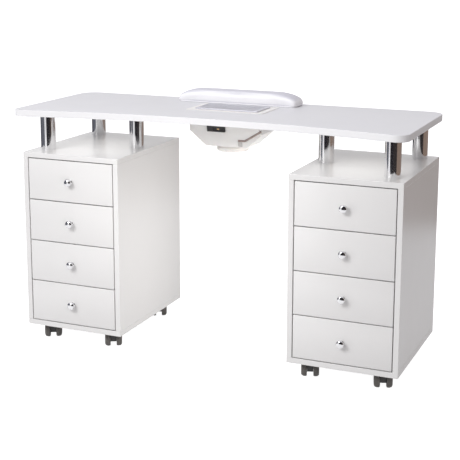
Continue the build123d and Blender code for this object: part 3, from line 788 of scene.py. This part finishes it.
# The collar is a turned ring with a rolled foot, fine grip grooves and the neck above it. Its profile is
# in radius and height above its foot.
def makeCollar(values):
    low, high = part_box("extractor_collar")
    outer, tall = (high.x - low.x) / 2, high.z - low.z
    rim, neck, bore, foot = values["rim"], values["neck"], values["bore"], values["footEdge"]
    profile = [(bore, 0), (outer - foot, 0), (outer, foot)]
    deep = outer - values["grooveDepth"]
    for k in range(values["grooves"]):
        z = values["firstGroove"] + k * values["groovePitch"]
        profile += [(outer, z), (deep, z + 0.0003), (deep, z + 0.0007), (outer, z + 0.001)]
    profile += [(outer, rim - values["rimEdge"]), (outer - values["rimEdge"], rim), (neck, rim),
                (neck, tall), (bore, tall)]
    ring = softened(profile, values["soft"], closed=True, steps=2)
    centre = ((low.x + high.x) / 2, (low.y + high.y) / 2, low.z)
    newPiece("outletCollar", [(turned(ring, centre, (0, 0, 1), values["steps"]), True)], "ivoryPlastic",
             "table", ("extractor_collar",))


makeCollar(collarValues)

grilleValues = {"pitch": 0.0050, "hole": 0.0017, "sheet": 0.0012, "border": 0.006, "stagger": 0.25,
                "sheetDrop": 0.0004}
rimValues = {"top": 0.0032, "under": 0.0020, "lip": 0.0030, "wall": 0.0012,
             "soft": 0.0009, "corner": 0.003, "skirtHalf": (0.098, 0.052), "skirtHigh": 0.0100,
             "skirtCorner": 0.002}


# Perforated sheet: staggered cells, each an octagonal hole inside eight points on the cell's border,
# then the blank margin beside each row and the two bands before and behind the rows.
def makeSheet(values, wall):
    low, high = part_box("extractor_grille")
    pitch, hole = values["pitch"], values["hole"]
    centre = np.array(((low.x + high.x) / 2, (low.y + high.y) / 2))
    half = np.array(((high.x - low.x) / 2, (high.y - low.y) / 2)) - wall
    columns = int((2 * half[0] - 2 * values["border"]) // pitch)
    rows = int((2 * half[1] - 2 * values["border"]) // pitch)
    angle = np.arange(8) * math.pi / 4
    inner = np.stack([np.cos(angle), np.sin(angle)], -1) * hole
    border = np.array([(1, 0), (1, 1), (0, 1), (-1, 1), (-1, 0), (-1, -1), (0, -1), (1, -1)]) * pitch / 2
    row, column = np.meshgrid(np.arange(rows), np.arange(columns - 1), indexing="ij")
    shift = np.where(np.arange(rows) % 2, values["stagger"], -values["stagger"])
    x = (column - (columns - 2) / 2 + shift[:, None]) * pitch
    y = (row - (rows - 1) / 2) * pitch
    cells = np.stack([x, y], -1).reshape(-1, 1, 2)
    points = np.concatenate([cells + border, cells + inner], 1)
    k = np.arange(8)
    quads = np.stack([k, (k + 1) % 8, (k + 1) % 8 + 8, k + 8], -1)
    faces = (quads[None] + np.arange(len(cells))[:, None, None] * 16).reshape(-1, 4)
    sideX, topY = (columns - 1) / 2 * pitch, rows / 2 * pitch
    rowY = (np.arange(rows) - (rows - 1) / 2) * pitch
    front, back = rowY - pitch / 2, rowY + pitch / 2
    strips = []
    for hand in (-1, 1):
        near, far = hand * sideX + shift * pitch, np.full(rows, hand * half[0])
        strips.append(np.stack([np.stack(pair, -1) for pair in
                                ((near, front), (far, front), (far, back), (near, back))], 1))
    for hand in (-1, 1):
        y0, y1 = hand * topY, hand * half[1]
        strips.append(np.array([[(-half[0], y0), (half[0], y0), (half[0], y1), (-half[0], y1)]]))
    extra = np.concatenate(strips)
    start = len(cells) * 16
    flat = np.concatenate([points.reshape(-1, 2), extra.reshape(-1, 2)]) + centre
    faces = np.concatenate([faces, start + np.arange(len(extra) * 4).reshape(-1, 4)])
    top = np.concatenate([flat, np.full((len(flat), 1), high.z - values["sheetDrop"])], 1)
    mesh = bpy.data.meshes.new("grilleSheet")
    mesh.from_pydata(top.tolist(), [], faces.tolist())
    tidyMesh(mesh, crease=None, upwards=True)
    sheet = newObject("grilleSheet", mesh)
    thick = sheet.modifiers.new("sheetThickness", "SOLIDIFY")
    thick.thickness, thick.offset = values["sheet"], -1
    placePiece(sheet, "brushedGrille", "grille", ("extractor_grille",))


# Pressed rim: a rounded band round the sheet that drops to the flange, and a skirt inside the throat.
def makeRim(values):
    low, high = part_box("extractor_grille")
    middleX, middleY = (low.x + high.x) / 2, (low.y + high.y) / 2
    top, under, lip, wall = values["top"], values["under"], values["lip"], values["wall"]
    rim = softened([(0, 0), (0, top), (-lip, top), (-lip, under), (-wall, under), (-wall, 0)],
                   values["soft"], closed=True)
    band = carriedRound(rim, (middleX, middleY, high.z - top), (high.x - low.x) / 2,
                        (high.y - low.y) / 2, values["corner"])
    skirtHigh = values["skirtHigh"]
    skirt = carriedRound([(0, 0), (0, skirtHigh), (-wall, skirtHigh), (-wall, 0)],
                         (middleX, middleY, low.z), *values["skirtHalf"], values["skirtCorner"])
    newPiece("grilleRim", [(band, True), (skirt, True)], "brushedGrille", "grille")


makeSheet(grilleValues, rimValues["wall"])
makeRim(rimValues)

feltValues = {"across": 84, "deep": 48, "nap": 0.00035, "weave": (910, 640, 1130, 770), "power": 14,
              "fall": 0.3}


# Felt pad: above and below its middle by the half thickness times a flat-topped fall-off to the edges,
# one minus the coordinate to an even power, plus a shallow nap of crossed sines.
def makeFelt(values):
    low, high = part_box("extractor_filter")
    u = np.sin(np.linspace(-1, 1, values["across"]) * math.pi / 2)
    v = np.sin(np.linspace(-1, 1, values["deep"]) * math.pi / 2)
    u, v = np.meshgrid(u, v)
    power = values["power"]
    edge = ((1 - abs(u) ** power) * (1 - abs(v) ** power)) ** values["fall"]
    x = (low.x + high.x) / 2 + u * (high.x - low.x) / 2
    y = (low.y + high.y) / 2 + v * (high.y - low.y) / 2
    a, b, c, d = values["weave"]
    nap = values["nap"] * (np.sin(x * a + 3 * np.sin(y * b)) + np.sin(y * c + 2 * np.sin(x * d))) / 2
    half = (high.z - low.z) / 2 - values["nap"]
    middle = (low.z + high.z) / 2
    top = np.stack([x, y, middle + edge * (half + nap)], -1)
    under = np.stack([x, y, middle - edge * (half + nap)], -1)
    sheets = np.concatenate([top, under[:, ::-1]], 1)
    felt = newPiece("filterFelt", [(sheets, False)], "filterFelt", "grille",
                    ("extractor_filter",))


makeFelt(feltValues)
bevelledCopy("fan_motor", "fanMotorCan", 0.0008, "motorPaint", "table", angle=40.0)
print("extractor ready")


padValues = {
    "power": 3.4, "belly": 0.30, "rows": 120, "around": 72,
    "endWide": (44, 0.3), "endHigh": (60, 0.22), "endPower": 9.0, "endDrop": 0.56,
    "footGap": 0.0004, "topDrop": 0.0065, "leftOver": 0.004, "rightOver": 0.001, "inset": 0.003,
    "voxel": 0.005, "pressure": 4.0, "quality": 5, "frames": 20, "swell": 0.0045,
}
gatherValues = {"depth": 0.0007, "start": 0.86, "over": 0.12, "fade": 1.15, "turn": 1.6, "count": 17,
                "drop": 0.4, "slack": 0.002, "clear": 0.0002}


# Padded roll: along the length, width and height follow one minus the coordinate to a high power; round
# it, a rounded rectangle of cosine and sine to the power 2/p, flat below and crowned above.
def padForm(low, high, values):
    s = np.sin(np.linspace(-1, 1, values["rows"]) * math.pi / 2)
    t = np.linspace(0, 2 * math.pi, values["around"], endpoint=False)
    length, depth, height = (high.x - low.x) / 2, (high.y - low.y) / 2, high.z - low.z
    (widePower, wideFall), (highPower, highFall) = values["endWide"], values["endHigh"]
    endWide = (1 - abs(s) ** widePower) ** wideFall
    slope = 1 - values["endDrop"] * abs(s) ** values["endPower"]
    endHigh = (1 - abs(s) ** highPower) ** highFall * slope
    c, n = np.cos(t), np.sin(t)
    wide = np.sign(c) * abs(c) ** (2 / values["power"])
    crown = abs(n) ** (2 / values["power"])
    flat = abs(n) ** (1 / 3)
    belly = values["belly"]
    tall = np.where(n > 0, belly + (1 - belly) * crown, belly * (1 - flat))
    x = np.broadcast_to((s * length)[:, None], (len(s), len(t)))
    y = np.outer(endWide, wide) * depth
    z = low.z + np.outer(endHigh, tall) * height
    return np.stack([(low.x + high.x) / 2 + x, (low.y + high.y) / 2 + y, z], -1)


# Vinyl pulled over the foam: remeshed, blown up a little by cloth pressure, and held near its form.
def swell(piece, values):
    bpy.context.view_layer.objects.active = piece
    piece.data.remesh_voxel_size = values["voxel"]
    bpy.ops.object.select_all(action="DESELECT")
    piece.select_set(True)
    bpy.ops.object.voxel_remesh()
    start = readPoints(piece.data)
    cloth = piece.modifiers.new("cover", "CLOTH")
    cloth.settings.use_pressure = True
    cloth.settings.uniform_pressure_force = values["pressure"]
    cloth.settings.effector_weights.gravity = 0
    cloth.settings.quality = values["quality"]
    cloth.point_cache.frame_end = values["frames"]
    for number in range(1, values["frames"] + 1):
        scene.frame_set(number)
    settled = piece.evaluated_get(bpy.context.evaluated_depsgraph_get())
    step = readPoints(settled.data) - start
    reach = np.linalg.norm(step, axis=1)[:, None]
    piece.modifiers.remove(cloth)
    scene.frame_set(1)
    writePoints(piece.data, start + step * np.minimum(1, values["swell"] / np.maximum(reach, 1e-9)))


# Small gathers where the cover turns round the ends: a ripple round the end's angle that fades upwards.
def gather(mesh, low, high, values):
    points = readPoints(mesh)
    centre = np.array(((low.x + high.x) / 2, (low.y + high.y) / 2))
    length = (high.x - low.x) / 2
    hand = np.sign(points[:, 0] - centre[0])
    beyond = abs(points[:, 0] - centre[0]) / length - values["start"]
    angle = np.arctan2(points[:, 1] - centre[1], beyond * length * values["turn"])
    height = (points[:, 2] - low.z) / (high.z - low.z)
    strength = np.clip(beyond / values["over"], 0, 1) * np.clip(values["fade"] - height, 0, 1)
    ripple = values["depth"] * strength * np.cos(angle * values["count"] + hand)
    points[:, 0] -= hand * abs(ripple)
    points[:, 2] -= ripple * values["drop"]
    points[:, 0] = np.clip(points[:, 0], low.x - values["slack"], high.x + values["slack"])
    points[:, 2] = np.maximum(points[:, 2], low.z + values["clear"])
    writePoints(mesh, points)


def makePad(values, ripples):
    low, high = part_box("wrist_rest_pad")
    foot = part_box("wrist_rest_base")[0].z + values["footGap"]
    low = Vector((low.x - values["leftOver"], low.y, foot))
    high = Vector((high.x + values["rightOver"], high.y, high.z))
    room = Vector((0, values["inset"], 0))
    grid = padForm(low + room, high - room - Vector((0, 0, values["topDrop"])), values)
    pad = newPiece("wristRestPad", [(grid, False)], "whiteVinyl", "wrist_rest",
                   ("wrist_rest_pad",))
    swell(pad, values)
    gather(pad.data, low, high, ripples)
    smooth = pad.modifiers.new("smooth", "SUBSURF")
    smooth.levels = smooth.render_levels = 1
    pad.data.shade_smooth()


makePad(padValues, gatherValues)

baseValues = {"edge": 0.0012, "corner": 0.014}


# Base board under the pad: a rounded rectangle's outline with a softened edge, closed at both faces.
def makeBase(values):
    low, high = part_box("wrist_rest_base")
    centre = ((low.x + high.x) / 2, (low.y + high.y) / 2, low.z)
    tall, corner = high.z - low.z, values["corner"]
    profile = softened([(-corner, 0), (0, 0), (0, tall), (-corner, tall)], values["edge"])
    skin = carriedRound(profile, centre, (high.x - low.x) / 2, (high.y - low.y) / 2, corner)
    foot, head = (np.broadcast_to(np.array((centre[0], centre[1], z)), (1,) + skin.shape[1:])
                  for z in (low.z, high.z))
    newPiece("wristRestBase", [(np.concatenate([foot, skin, head]), False)], "whiteVinyl",
             "wrist_rest", ("wrist_rest_base",))


makeBase(baseValues)
print("wrist rest ready")
